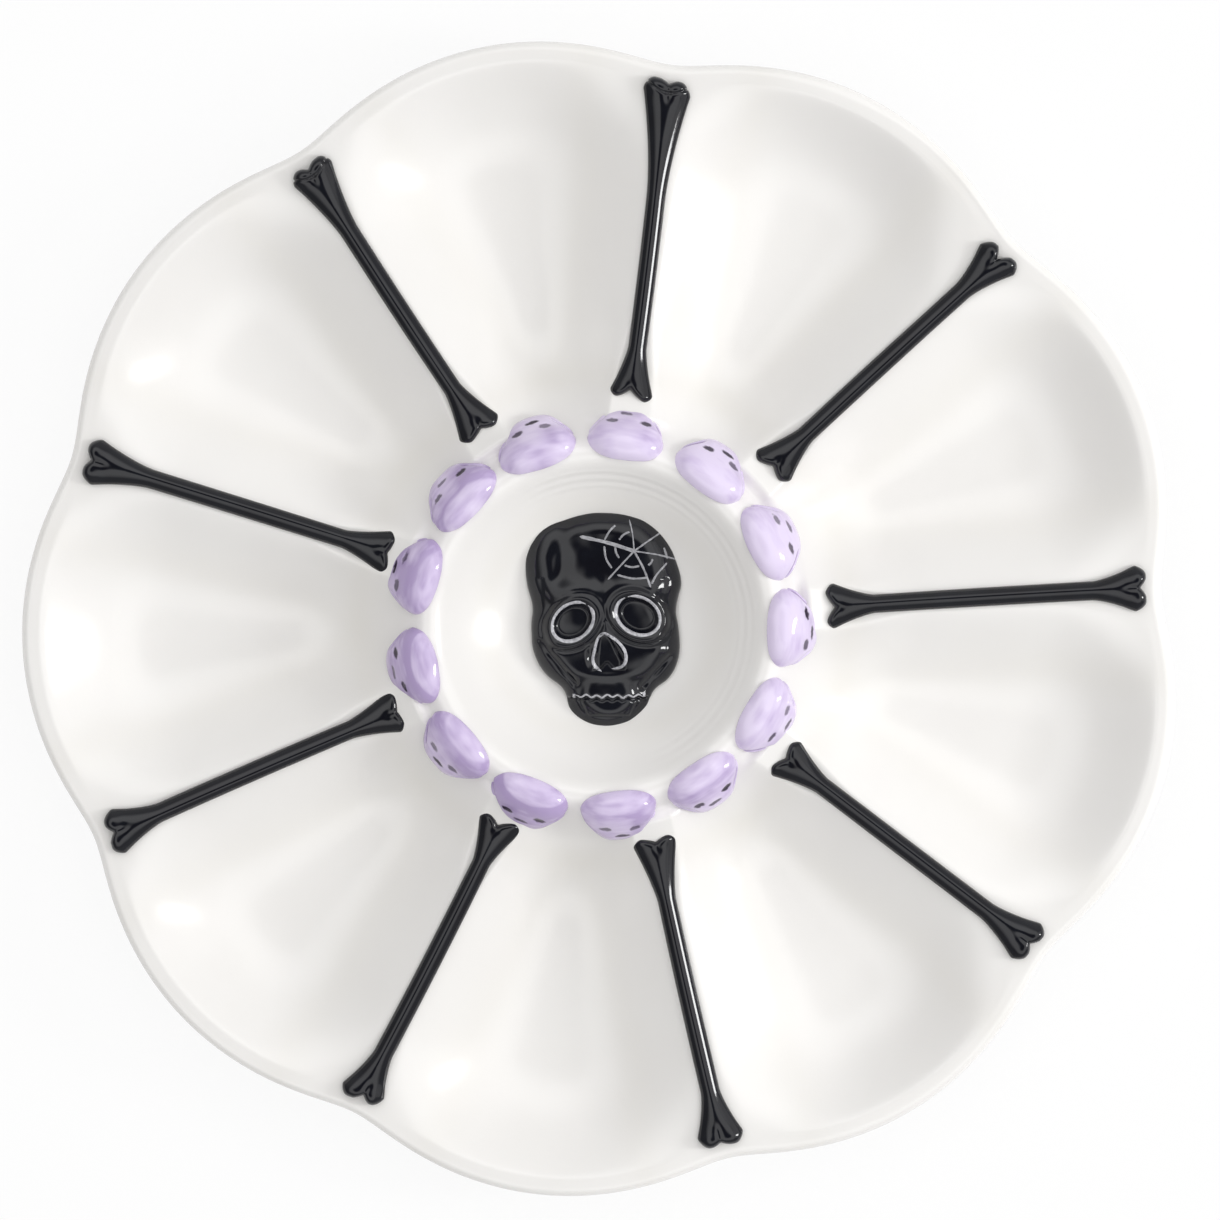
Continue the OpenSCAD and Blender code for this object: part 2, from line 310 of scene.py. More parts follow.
def ramp(factor, stops):
    node = after(factor, "ValToRGB", "Fac")
    while len(node.color_ramp.elements) < len(stops):
        node.color_ramp.elements.new(0.5)
    for element, (place, colour) in zip(node.color_ramp.elements, stops):
        element.position = place
        element.color = (*colour, 1.0)
    return node.outputs["Color"]


def blend_colour(factor, a, b):
    node = factor.id_data.nodes.new("ShaderNodeMix")
    node.data_type = "RGBA"
    sockets = {socket.identifier: socket for socket in node.inputs}
    for key, value in (("Factor_Float", factor), ("A_Color", a), ("B_Color", b)):
        if isinstance(value, tuple):
            sockets[key].default_value = (*value, 1.0)
        else:
            join(value, sockets[key])
    return [s for s in node.outputs if s.type == "RGBA"][0]


def scaled(value, low, high, edges=(0.0, 1.0), kind="LINEAR"):
    node = after(value, "MapRange", "Value")
    node.interpolation_type = kind
    set_inputs(node, {"From Min": edges[0], "From Max": edges[1], "To Min": low, "To Max": high})
    return node.outputs["Result"]


def combine(operation, *values):
    node = values[0].id_data.nodes.new("ShaderNodeMath")
    node.operation = operation
    for socket, value in zip(node.inputs, values):
        if isinstance(value, float):
            socket.default_value = value
        else:
            join(value, socket)
    return node.outputs["Value"]


def bump(height, distance, before=None):
    node = after(height, "Bump", "Height")
    set_inputs(node, {"Strength": 1.0, "Distance": distance})
    if before is not None:
        join(before, node.inputs["Normal"])
    return node.outputs["Normal"]


def mark(nodes, name):
    node = nodes.new("ShaderNodeAttribute")
    node.attribute_name = name
    return node.outputs["Fac"]


WAVE_SCALE = 42.0
PEEL_SCALE = 900.0
SPECK_SCALE = 55.0
SPECK_TONE = (0.45, 0.44, 0.42)
WHITE, BLACK = (1, 1, 1), (0, 0, 0)

# Each glaze: scale and detail of its clouds, tones, tones at marks, roughness, waves and peel in metres, IOR
GLAZES = {
    "white_glaze": ((18.0, 4.0), [(0.3, (0.85, 0.834, 0.812)), (0.7, (0.88, 0.866, 0.846))],
                    [("pool", (0.82, 0.80, 0.76))], (0.16, 0.24), 0.00025, 0.000012, 1.52),
    "black_glaze": ((160.0, 4.0), [(0.3, (0.003, 0.003, 0.006)), (0.75, (0.006, 0.007, 0.011))],
                    [("thin", (0.16, 0.155, 0.16))], (0.04, 0.10), 0.00005, 0.000003, 1.49),
    # The lilac takes its tone from a mark on the small skulls that holds streaks, painted light and painted
    # shade.
    "lilac_glaze": (None, [(0.2, (0.46, 0.36, 0.60)), (0.5, (0.64, 0.54, 0.77)), (0.8, (0.76, 0.67, 0.87))],
                    [("crease", (0.27, 0.17, 0.42)), ("bare", (0.85, 0.85, 0.84)),
                     ("dab", (0.030, 0.018, 0.042))], (0.06, 0.13), 0.00010, 0.000006, 1.52),
    "line_paint": ((1400.0, 3.0), [(0.3, (0.30, 0.30, 0.33)), (0.6, (0.60, 0.60, 0.63))],
                   [("thin", (0.16, 0.16, 0.175))], (0.12, 0.25), 0.00006, 0.000012, 1.52),
}


def specks(coords):
    """A few small dark dots."""
    cells = after(coords, "TexVoronoi", "Vector")
    set_inputs(cells, {"Scale": SPECK_SCALE})
    dots = ramp(cells.outputs["Distance"], [(0.010, WHITE), (0.018, BLACK)])
    rare = ramp(cells.outputs["Color"], [(0.90, BLACK), (0.905, WHITE)])
    return blend_colour(rare, BLACK, dots)


def glaze(name):
    """A fired glaze: its tones, and a gloss with slow waves, fine orange peel and uneven shine."""
    clouds, stops, layers, rough, ripple, fine, ior = GLAZES[name]
    material, nodes, shader = new_material(name)
    coords = nodes.new("ShaderNodeTexCoord").outputs["Object"]
    tone = ramp(noise_texture(coords, *clouds) if clouds else mark(nodes, "brush_light_and_shade"), stops)
    for layer, colour in layers:
        tone = blend_colour(mark(nodes, layer), tone, colour)
    if name == "white_glaze":
        tone = blend_colour(specks(coords), tone, SPECK_TONE)
    join(tone, shader.inputs["Base Color"])
    waves = noise_texture(coords, WAVE_SCALE, 2.0, 0.4)
    peel = noise_texture(coords, PEEL_SCALE, 2.0)
    join(bump(peel, fine, bump(waves, ripple)), shader.inputs["Normal"])
    join(scaled(waves, *rough), shader.inputs["Roughness"])
    set_inputs(shader, {"IOR": ior})
    return material


def bare_clay():
    material, nodes, shader = new_material("bare_clay")
    coords = nodes.new("ShaderNodeTexCoord").outputs["Object"]
    clouds = noise_texture(coords, 60.0, 3.0)
    tone = ramp(clouds, [(0.3, (0.66, 0.62, 0.55)), (0.7, (0.76, 0.73, 0.67))])
    tone = blend_colour(mark(nodes, "glazed"), tone, (0.85, 0.85, 0.84))
    join(tone, shader.inputs["Base Color"])
    join(bump(noise_texture(coords, 700.0, 6.0), 0.00008), shader.inputs["Normal"])
    join(scaled(mark(nodes, "glazed"), 0.75, 0.1), shader.inputs["Roughness"])
    return material


# The dish

def wall(t, shape):
    """Height of a wall from 1 at its top to 0 at its foot, at a share of its run."""
    t = np.clip(t, 0, 1)
    return (1 - t**shape[0])**shape[1]


def rim_r(a):
    """Radius of the rim at an angle in degrees from the middle line of a well."""
    rounded = HALF_A - np.hypot(HALF_A - np.abs(a), NOTCH_ROUND) * HALF_A / math.hypot(HALF_A, NOTCH_ROUND)
    t = np.radians(rounded)
    return ARC_OFF * np.cos(t) + np.sqrt(ARC_R**2 - (ARC_OFF * np.sin(t))**2)


BONE_OUT = float(rim_r(HALF_A)) - BONE_MARGIN
BONE_L = BONE_OUT - BONE_IN


def ridge_side(angle):
    """Angle in degrees to the nearest ridge."""
    return np.abs((angle - FIRST_RIDGE + HALF_A) % (2 * HALF_A) - HALF_A)


LAND_HALF = (2.4, 5.4)
LAND_EASE = (3.0, 26.0)


def land(r):
    """Half width of a ridge's flat top, which widens slowly under the ends of its bone."""
    near = [1 - past(x, LAND_EASE) for x in (r - BONE_IN, BONE_OUT - r)]
    return between(LAND_HALF, np.maximum(*near))


def side_run(r):
    """Width of a ridge's sloping side."""
    return np.clip(r * math.sin(math.radians(HALF_A)) - land(r), 1.0, RIDGE_RUN)


def ridge_share(d, r):
    """Share of a ridge's height that is left at a distance from its middle line."""
    run = side_run(r)
    foot = between(RIDGE_FEET, past(run, FEET_EASE))
    return wall((d - land(r)) / run, (RIDGE_TOP, foot))


CREST_MID = np.array([SEAT_R - COLLAR_W, CREST_Z - CREST_R])
SLOPE_TOP = CREST_MID + CREST_R * np.array([math.sin(COLLAR_SLOPE), math.cos(COLLAR_SLOPE)])
FILLET_MID = np.array([BOWL_FLAT_R, BOWL_Z + BOWL_FILLET])
SPAN = CREST_MID - FILLET_MID
WALL_SLOPE = math.atan2(SPAN[1], SPAN[0]) + math.asin((BOWL_FILLET + CREST_R) / np.hypot(*SPAN))
WALL_TOP = CREST_MID + CREST_R * np.array([-math.sin(WALL_SLOPE), math.cos(WALL_SLOPE)])
BOTH_SLOPES = math.tan(COLLAR_SLOPE) + math.tan(WALL_SLOPE)
PEAK_R = (SLOPE_TOP[1] + SLOPE_TOP[0] * math.tan(COLLAR_SLOPE)
          - WALL_TOP[1] + WALL_TOP[0] * math.tan(WALL_SLOPE)) / BOTH_SLOPES
PEAK_Z = SLOPE_TOP[1] - (PEAK_R - SLOPE_TOP[0]) * math.tan(COLLAR_SLOPE)
COLLAR_FILL = 2.0
FILL_RISE = COLLAR_FILL / (1 / math.tan(COLLAR_SLOPE) + 1 / math.tan(WALL_SLOPE))
CREST_BLEND = 4 * (PEAK_Z + FILL_RISE - CREST_Z)
BOWL_BLEND = 14.0
WELL_BLEND = 20.0
RIDGE_FADE = (51.0, 57.0)

# Throwing rings in the bowl: where they lie, how they fade, and their size
RING_SPAN = (36.0, 43.5)
RING_EDGE = 2.0
RING_SIDE = (-12.0, 20.0)
RING_SIDE_LEAN = 0.5
RING_DRIFT = 0.012
RING_PITCH = 2.1
RING_DEPTH = 0.06


def ring_r(x, y):
    """Distance from the axis of the bowl's ring."""
    return np.hypot(x - RING_SHIFT[0], y - RING_SHIFT[1])


def bowl_wall(ring):
    """Height of the bowl's straight inner wall, carried on under its floor."""
    return WALL_TOP[1] + (ring - WALL_TOP[0]) * math.tan(WALL_SLOPE)


def throwing_rings(x, y):
    """Height of the fine rings that turning leaves on one side of the bowl."""
    ring = ring_r(x, y)
    seen = eased((ring - RING_SPAN[0]) / RING_EDGE) * eased((RING_SPAN[1] - ring) / RING_EDGE)
    seen = seen * eased((x + RING_SIDE_LEAN * y - RING_SIDE[0]) / RING_SIDE[1])
    return RING_DEPTH * seen * np.sin(2 * math.pi * (ring + RING_DRIFT * y) / RING_PITCH)


def dish_top(x, y):
    """Height of the upper side at a place in plan."""
    r = np.hypot(x, y)
    side = ridge_side(np.degrees(np.arctan2(y, x)))
    d = r * np.sin(np.radians(side))
    ridge = ridge_share(d, r) * past(r, RIDGE_FADE)
    rim = wall((rim_r(HALF_A - side) - r - LIP_T) / RIM_RUN, RIM_SHAPE)
    wells = WELL_Z + (RIM_H - WELL_Z) * (1 - (1 - ridge) * (1 - rim))
    ring = ring_r(x, y)
    outer = SLOPE_TOP[1] - (ring - SLOPE_TOP[0] - COLLAR_FILL) * math.tan(COLLAR_SLOPE)
    collar = smooth_min(outer, bowl_wall(ring), CREST_BLEND)
    bowl = smooth_max(collar, BOWL_Z, BOWL_BLEND)
    z = np.where(ring < PEAK_R, bowl, smooth_max(collar, wells, WELL_BLEND))
    return z + throwing_rings(x, y)


def bowl_lift(x, y):
    """Height of the bowl's inside above its flat floor."""
    return smooth_max(bowl_wall(ring_r(x, y)), BOWL_Z, BOWL_BLEND) - BOWL_Z


WAVE_LENGTH = 34.0
WAVE_HEIGHT = 0.22
WAVE_START = (30.0, 10.0)
WAVE_SEED = 3


def hand_wave(points, size, seed):
    """Slow unevenness of a hand-finished surface, in millimetres."""
    return size * 2 * (layered(points / WAVE_LENGTH, seed, 2) - 0.5)


# Grid of the dish: columns, and rows in the bowl, over the wells, around the lip and under
COLUMNS = 900
BOWL_ROWS = ((1.0, 28.0, 16), (28.4, 50.0, 90), (50.5, SEAT_R, 20))
WELL_ROWS = 150
LIP_ROWS = 10
UNDER_ROWS = 50


def dish_points():
    """Rows of points over the top, around the lip and under to the axis, and the number of the lip's row."""
    angle = np.arange(COLUMNS) * 360.0 / COLUMNS
    a = np.radians(angle)
    edge = rim_r(HALF_A - ridge_side(angle))
    rows = []
    bowl_rows = np.concatenate([np.linspace(*span) for span in BOWL_ROWS])
    well_rows = [SEAT_R + t * (edge - LIP_T / 2 - SEAT_R) for t in np.linspace(0, 1, WELL_ROWS + 1)[1:]]
    for r in [np.full(COLUMNS, r) for r in bowl_rows] + well_rows:
        shift = 1 - past(r, SHIFT_FADE)
        x = r * np.cos(a) + shift * RING_SHIFT[0]
        y = r * np.sin(a) + shift * RING_SHIFT[1]
        rows.append(np.stack([x, y, dish_top(x, y)], -1))
    lip_row = len(rows)
    under = [(edge - LIP_T / 2 * (1 - math.sin(t)), RIM_H - LIP_T / 2 * (1 - math.cos(t)))
             for t in np.linspace(0, math.pi / 2, LIP_ROWS)[1:]]
    under += [(edge - t * RIM_RUN, BASE_Z + (RIM_H - LIP_T / 2 - BASE_Z) * wall(t, RIM_SHAPE))
              for t in np.linspace(0, 1, UNDER_ROWS)[1:]]
    under += under_path()
    for r, z in under:
        rows.append(np.stack(np.broadcast_arrays(r * np.cos(a), r * np.sin(a), z), -1))
    return np.array(rows), lip_row


def rounded_path(corners, radius, steps):
    """A path through corners, each rounded by a curve that starts and ends a radius away."""
    path = [corners[0]]
    for before, corner, after in zip(corners, corners[1:], corners[2:]):
        start = corner + (before - corner) / np.hypot(*(before - corner)) * radius
        end = corner + (after - corner) / np.hypot(*(after - corner)) * radius
        for t in np.linspace(0, 1, steps):
            path.append((1 - t)**2 * start + 2 * t * (1 - t) * corner + t * t * end)
    return path + [corners[-1]]


UNDER_SPAN = (100.0, 2.0)
UNDER_ROUND = 2.5
UNDER_STEPS = 7


def under_path():
    """Radius and height along the underside, from the dish's flat base to the axis."""
    hollow_out = SEAT_R - COLLAR_T
    drop_out = COLLAR_T / math.cos(COLLAR_SLOPE)
    drop_in = COLLAR_T / math.cos(WALL_SLOPE)
    peak_r = PEAK_R + (drop_in - drop_out) / BOTH_SLOPES
    peak_z = PEAK_Z - (peak_r - PEAK_R) * math.tan(COLLAR_SLOPE) - drop_out
    shoulder_z = peak_z - (hollow_out - peak_r) * math.tan(COLLAR_SLOPE)
    hollow_in = peak_r - (peak_z - BOWL_BASE_Z) / math.tan(WALL_SLOPE)
    corners = [(UNDER_SPAN[0], BASE_Z), (hollow_out, BASE_Z), (hollow_out, shoulder_z), (peak_r, peak_z),
               (hollow_in, BOWL_BASE_Z), (UNDER_SPAN[1], BOWL_BASE_Z)]
    return rounded_path([np.array(c) for c in corners], UNDER_ROUND, UNDER_STEPS)


def make_dish(material):
    points, lip_row = dish_points()
    rows = len(points)
    top = points[:lip_row]
    start = eased((np.hypot(top[..., 0], top[..., 1]) - WAVE_START[0]) / WAVE_START[1])
    top[..., 2] += hand_wave(top, WAVE_HEIGHT, WAVE_SEED) * start
    flat = points.reshape(-1, 3)
    ends = np.array([[0, 0, points[0, :, 2].mean()], [0, 0, BOWL_BASE_Z]])
    quads = ring_faces(rows, COLUMNS)
    c = np.arange(COLUMNS)
    d = (c + 1) % COLUMNS
    first, last = len(flat), len(flat) + 1
    top_fan = np.stack([c, d, np.full(COLUMNS, first)], -1)
    row = (rows - 1) * COLUMNS
    under_fan = np.stack([row + d, row + c, np.full(COLUMNS, last)], -1)
    every = np.concatenate([flat, ends])
    marks = {"pool": pooled(every)}
    return make_mesh("glazed_dish", every, [quads, top_fan, under_fan], material, marks)


# Where glaze gathers: the middle and half width of each band, and how strongly it shows
COLLAR_POOL = (67.0, 5.0)
BOWL_POOL = (32.0, 4.0)
RIDGE_POOL = (18.0, 6.0)
RIDGE_POOL_START = (62.0, 8.0)
POOL_STRENGTH = (0.55, 0.35)


def band(x, middle, half):
    """1 in the middle of a band, and 0 away from it."""
    return np.exp(-((x - middle) / half)**2)


def pooled(points):
    """Where glaze gathers: the foot of the collar and of the ridges, and the corner of the bowl."""
    r = np.hypot(points[:, 0], points[:, 1])
    angle = np.degrees(np.arctan2(points[:, 1], points[:, 0]))
    d = r * np.sin(np.radians(ridge_side(angle)))
    foot = band(r, *COLLAR_POOL) + band(r, *BOWL_POOL)
    ridges = band(d - land(r), *RIDGE_POOL) * eased((r - RIDGE_POOL_START[0]) / RIDGE_POOL_START[1])
    pool = np.clip(POOL_STRENGTH[0] * foot + POOL_STRENGTH[1] * ridges, 0, 1)
    return pool * (points[:, 2] > BASE_Z + 1)


FOOT_COLUMNS = COLUMNS // 3
FOOT_FLARE = 2.2
FOOT_WAIST = 1.8
FOOT_ROOT = (0.3, 0.6)
FOOT_BEVEL = 0.6
FOOT_ROUND = 0.5
FOOT_STEPS = 6
GLAZE_LINE = (0.6, 0.5)
GLAZE_WANDER = (0.5, 9.0)


def make_foot(material):
    low = FOOT_MID_R - FOOT_W / 2
    high = FOOT_MID_R + FOOT_W / 2
    waist_z, root_z = BASE_Z - FOOT_WAIST, BASE_Z + FOOT_ROOT[0]
    corners = [(high + FOOT_FLARE, root_z), (high, waist_z), (high - FOOT_BEVEL, 0.0),
               (low + FOOT_BEVEL, 0.0), (low, waist_z), (low - FOOT_FLARE, root_z)]
    path = rounded_path([np.array(c) for c in corners], FOOT_ROUND, FOOT_STEPS)
    path.append(np.array([FOOT_MID_R, BASE_Z + FOOT_ROOT[1]]))
    a = np.radians(np.arange(FOOT_COLUMNS) * 360.0 / FOOT_COLUMNS)
    rows = [np.stack([r * np.cos(a), r * np.sin(a), np.full_like(a, z)], -1) for r, z in path]
    points = np.concatenate(rows)
    quads = ring_faces(len(rows) + 1, FOOT_COLUMNS) % len(points)
    wander = GLAZE_WANDER[0] * layered(plane(points[:, 0], points[:, 1]) / GLAZE_WANDER[1], 5)
    glazed = eased((points[:, 2] - GLAZE_LINE[0] - wander) / GLAZE_LINE[1])
    return make_mesh("foot", points, [quads], material, {"glazed": glazed})


# Forms that differ a little from piece to piece

def wobbles(i, turn, step, count, start=0.0):
    """Numbers between -1 and 1 for one piece."""
    return np.array([math.sin(turn * i + step * k + start) for k in range(count)])


def hill(x, y, middle, half):
    """1 at a place in plan, and 0 away from it."""
    return np.exp(-((x - middle[0]) / half[0])**2 - ((y - middle[1]) / half[1])**2)


def thin_patches(points, strength, top, fade, grain, seed):
    """Where black glaze runs thin: patches around the foot of a piece."""
    return strength * eased((top - points[:, 2]) / fade) * layered(points / grain, seed)


# Bones, with heights from the top of the ridge
BONE_AXIS = 0.8
BONE_ROOT = 2.0
BONE_BOX = ((-1.0, -8.2, -BONE_ROOT - 0.7), (BONE_L + 1.0, 8.2, 5.6))
BONE_LUMPS = np.array([30.0, 6.0, 6.0])
BONE_LUMP_H = 0.16
BONE_THIN = (0.6, 0.5, 0.7, 1.7)
BONE_SEED = 23
BONE_BEND = 0.5
LINE_STRAY = 0.45

# How each bone is turned, and the length and the notch of its flared ends
BONE_TURNS = (0.4, -0.4, 0.3, 0.1, -0.3, 0.5, -0.1, -0.3, -0.3)
FLARES_OUT = (12, 13, 30, 19, 16, 13, 12, 13, 14)
FLARES_IN = (12, 13, 13, 14, 13, 14, 13, 17, 13)
NOTCHES_OUT = (1.2, 2.4, 0.8, 1.0, 1.2, 1.4, 1.5, 0.7, 1.2)
NOTCHES_IN = (2.0, 1.4, 2.2, 1.2, 0.9, 0.7, 2.0, 1.2, 1.3)

# Sections of a bone: half widths of the shaft, height of the ends, and roundness of both
SHAFT = (2.5, 2.7)
END_TALL = 3.2
ROOF = (1.55, 1.4)

# Each kind of end, and what all ends share
INNER_END = {"half": 6.4, "start": 1.6, "corner": 1.4, "spread": 4.4, "bow": 0.16,
             "flat": 3.05, "lobe": 0.3, "valley": 0.15, "pit": 0.3, "curve": 1.35}
OUTER_END = {"half": 6.3, "start": 3.0, "corner": 1.6, "spread": 2.4, "bow": 0.24,
             "flat": 2.95, "lobe": 0.45, "valley": 0.25, "pit": 0.2, "curve": 1.45}
END_SLANT = 0.10
END_VARIES = 0.04
LONG_FLARE, LONG_CURVE = 20, 1.7
LOBE_SHARE = 0.55
LOBE_OUT = 0.4
LOBE_HALF = (2.4, 1.9)
NOTCH_STRAY = 0.5
NOTCH_TURN = 1.3
TIP_BACK = 0.3
TIP_ROUND = 0.10
FLAT_SOFT = 0.15
VALLEY_HALF = (3.2, 0.8)
PIT_IN = 2.2
PIT_HALF = (1.6, 1.3)
CREASED_FLARE = 18
CREASE_IN, CREASE_BOW, CREASE_DEPTH, CREASE_HALF = 1.0, 0.075, 0.35, 0.4


def roof_oval(y, z, half, tall, power, ridge):
    """Distance outside a cross-section like a round roof, with its ridge off the middle."""
    side = y - ridge
    t = np.abs(side) / (half - np.sign(side) * ridge)
    reach = (t**power + (z / tall)**2)**(2 / (power + 2))
    return (reach - 1) * np.minimum(half, tall)


def bone_end(q, end, inward, flare, notch, shaft, kind, wobble, ridge):
    """A solid end that widens from the shaft to two lobes, with a notch and a pit between them."""
    y, z = q[..., 1], q[..., 2] - BONE_AXIS
    d = (q[..., 0] - end) * inward + END_SLANT * wobble[3] * y
    start = kind["start"]
    curve = kind["curve"] if flare < LONG_FLARE else LONG_CURVE
    share = (1 - np.clip((d - start) / flare, 0, 1))**curve
    half = between((shaft, kind["half"] * (1 + END_VARIES * wobble[0])), share)
    power = between(ROOF, share)
    form = roof_oval(y, z, half, between((shaft, END_TALL), share), power, ridge)
    lobe_y = kind["half"] * LOBE_SHARE
    middle = NOTCH_STRAY * wobble[5]
    tip = TIP_BACK + kind["bow"] * np.clip(np.abs(y) - lobe_y, 0, None)**2
    tip = tip + notch * np.clip(1 - np.abs(y - middle) / kind["spread"], 0, 1)**NOTCH_TURN
    form = smooth_max(form, tip + TIP_ROUND * z * z - d, kind["corner"])
    form = smooth_max(form, z - kind["flat"], FLAT_SOFT)
    form = form - kind["lobe"] * hill(d, np.abs(y), (start - LOBE_OUT, lobe_y), LOBE_HALF)
    form = form + kind["valley"] * hill(d, y, (start, middle), VALLEY_HALF)
    form = form + kind["pit"] * hill(d, y, (start + PIT_IN, middle), PIT_HALF)
    if flare >= CREASED_FLARE:
        crease = start + CREASE_IN - CREASE_BOW * y * y
        form = form + CREASE_DEPTH * band(d, crease, CREASE_HALF)
    return form


def bone_field(i):
    """The form of one bone, along +X from its inner end, on a ridge at height 0."""
    wobble = wobbles(i, 2.3, 1.9, 6, 0.4)
    bend = BONE_BEND * wobble[0]
    line = LINE_STRAY * wobble[1]
    ends = ((0.0, 1, FLARES_IN[i], NOTCHES_IN[i], INNER_END),
            (BONE_L, -1, FLARES_OUT[i], NOTCHES_OUT[i], OUTER_END))

    def field(p):
        q = p.copy()
        q[..., 1] -= bend * np.sin(math.pi * p[..., 0] / BONE_L)
        thick = between(SHAFT, np.clip(q[..., 0] / BONE_L, 0, 1))
        form = roof_oval(q[..., 1], q[..., 2] - BONE_AXIS, thick, thick, ROOF[0], line)
        for end, inward, flare, notch, kind in ends:
            near = np.abs(q[..., 0] - end) < flare + kind["start"]
            shape = bone_end(q, end, inward, flare, notch, thick, kind, wobble * inward, line)
            form = np.where(near, shape, form)
        lumps = BONE_LUMP_H * (noise(p / BONE_LUMPS + 7 * i, 11) - 0.5)
        return np.maximum(form + lumps, -BONE_ROOT - p[..., 2])

    return field


def make_bones(material):
    pieces = []
    for i in range(WELLS):
        points, quads = sculpt(bone_field(i), *BONE_BOX)
        thin = thin_patches(points, *BONE_THIN, BONE_SEED + i)
        angle = FIRST_RIDGE + 2 * HALF_A * i + BONE_TURNS[i]
        points = turned(points + np.array([BONE_IN, 0, RIM_H]), angle)
        piece = make_mesh(f"bone_{i + 1}", points, [quads], material, {"thin": thin})
        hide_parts(f"divider_bone_{i + 1}")
        pieces.append(piece)
    return pieces


# Skulls around the bowl: place on the collar, slope, roots, and the box around the form
SKULL_R = 50.9
SKULL_Z = 28.9
SKULL_TILT = math.radians(40.0)
SKULL_ROOT = 12.0
SKULL_SINK = 1.5
SKULL_BOX = ((-8.0, -12.4, -13.5), (12.2, 12.4, 6.6))

# Form of a small skull: two mounds, hollows at the eyes and the nose, and a groove beside the face
BLUNT = 0.4
HEAD = ((-0.7, 0.25, 0.0), (6.5, 7.6), (10.8, 5.6), 2.1)
FACE = ((4.4, 0.3, -0.5), (5.0, 6.3), (7.6, 4.8), 2.3)
HEAD_BLEND = 2.2
HEAD_VARIES = 0.03
EYE_AT = (3.0, 4.3)
NOSE_AT = (5.7, 0.0)
EYE_HOLLOW = (0.3, (1.2, 1.6))
NOSE_HOLLOW = (0.2, (0.8, 1.4))
SHOULDER_AT = (5.4, 6.5)
SHOULDER_LEAN = 1.3
SHOULDER_SIDE = 5.5
SHOULDER_GROOVE = (0.3, 0.6)
SKULL_LUMPS = (0.25, 3.5)


def collar_depth(r, z):
    """Distance above the collar's surface, below zero inside it."""
    outer = (r - SLOPE_TOP[0]) * math.sin(COLLAR_SLOPE) + (z - SLOPE_TOP[1]) * math.cos(COLLAR_SLOPE)
    inner = -(r - WALL_TOP[0]) * math.sin(WALL_SLOPE) + (z - WALL_TOP[1]) * math.cos(WALL_SLOPE)
    return np.maximum(outer, inner)


def skull_place(p):
    """Radius, side and height of points given in a small skull's own frame."""
    r = SKULL_R + p[..., 0] * math.cos(SKULL_TILT) + p[..., 2] * math.sin(SKULL_TILT)
    z = SKULL_Z - p[..., 0] * math.sin(SKULL_TILT) + p[..., 2] * math.cos(SKULL_TILT)
    return np.stack([r, p[..., 1], z], -1)


def above_collar(p):
    """Height over the collar's surface of points given in a small skull's own frame."""
    place = skull_place(p)
    return collar_depth(np.hypot(place[..., 0], place[..., 1]), place[..., 2])


def mound(p, middle, reach, half, power):
    """A blunt oval dome with deep roots, and its own reach to the bowl and to the wells."""
    x, y, z = (p[..., i] - middle[i] for i in range(3))
    x = x + np.minimum(z, 0) * math.tan(SKULL_TILT)
    plan = np.abs(x / np.where(x < 0, *reach))**power + np.abs(y / half[0])**(power + BLUNT)
    tall = np.where(z > 0, half[1], SKULL_ROOT)
    return (np.sqrt(plan**(2 / power) + (z / tall)**2) - 1) * half[1]


def skull_mound(p, part, stray, wide):
    (x, y, z), reach, (half, tall), power = part
    return mound(p, (x, y * stray, z), reach, (half * wide, tall), power)


def shoulder(p):
    """Distance from the line where the face of a small skull starts, at its sides."""
    return p[..., 0] - SHOULDER_AT[0] + SHOULDER_LEAN * (np.abs(p[..., 1]) - SHOULDER_AT[1])


def skull_field(i):
    """The form of one small skull: +X out from the bowl and down, +Z out of the collar."""
    wobble = wobbles(i, 1.7, 2.1, 6)
    wide = 1 + HEAD_VARIES * wobble[0]

    def field(p):
        head = skull_mound(p, HEAD, wobble[1], wide)
        face = skull_mound(p, FACE, wobble[2], wide)
        body = smooth_min(head, face, HEAD_BLEND)
        x, y = p[..., 0], np.abs(p[..., 1])
        for at, (depth, half) in ((EYE_AT, EYE_HOLLOW), (NOSE_AT, NOSE_HOLLOW)):
            body = body + depth * hill(x, y, at, half)
        groove_depth, groove_half = SHOULDER_GROOVE
        body = body + groove_depth * band(shoulder(p), 0, groove_half) * eased(y - SHOULDER_SIDE)
        lumps = SKULL_LUMPS[0] * (noise(p / SKULL_LUMPS[1] + 5 * i, 31) - 0.5)
        return np.maximum(body + lumps, -SKULL_SINK - above_collar(p))

    return field


# Paint on the small skulls: streaks, wash, painted shade below the brow, tones with painted light from one
# side, dark lines, dabs and bare edges
STREAKS = np.array([0.9, 5.0, 2.0])
WASH = 5.0
BROW_SHADE_X, BROW_SHADE_STRAY, BROW_SHADE_BOW, BROW_SHADE_WASH, BROW_SHADE_EDGE, BROW_SHADE_FADE = -3.4, 0.8, 0.025, 2.0, 1.4, 4.0
# Painted light: the side the light comes from, and how much lighter or darker it paints each skull
PAINTED_LIGHT_FROM = 25.0
TONE_BASE, TONE_PAINTED_LIGHT, TONE_STREAKS, TONE_WASH = 0.27, 0.22, 0.45, 0.6
# Painted shade below the brow: how dark it is, and how much less on skulls facing the light
BROW_SHADE_DARK, BROW_SHADE_LIT = 0.40, 0.28
LINE_DARK, LINE_HALF, LINE_RISE, LINE_GRAIN, LINE_LEAN, LINE_EDGE = 0.9, 0.4, 1.2, 3.0, 0.2, 0.2
EYE_DAB = (0.85, 1.5)
NOSE_DAB = (0.65, 1.8)
DAB_EDGE = (1.25, 0.4)
DAB_STRENGTH = (0.85, 0.15)
DAB_RAGGED = (0.5, 0.7)
BARE_DEPTH, BARE_FADE, BARE_WANDER, BARE_GRAIN = 0.9, 0.4, 0.2, 2.5


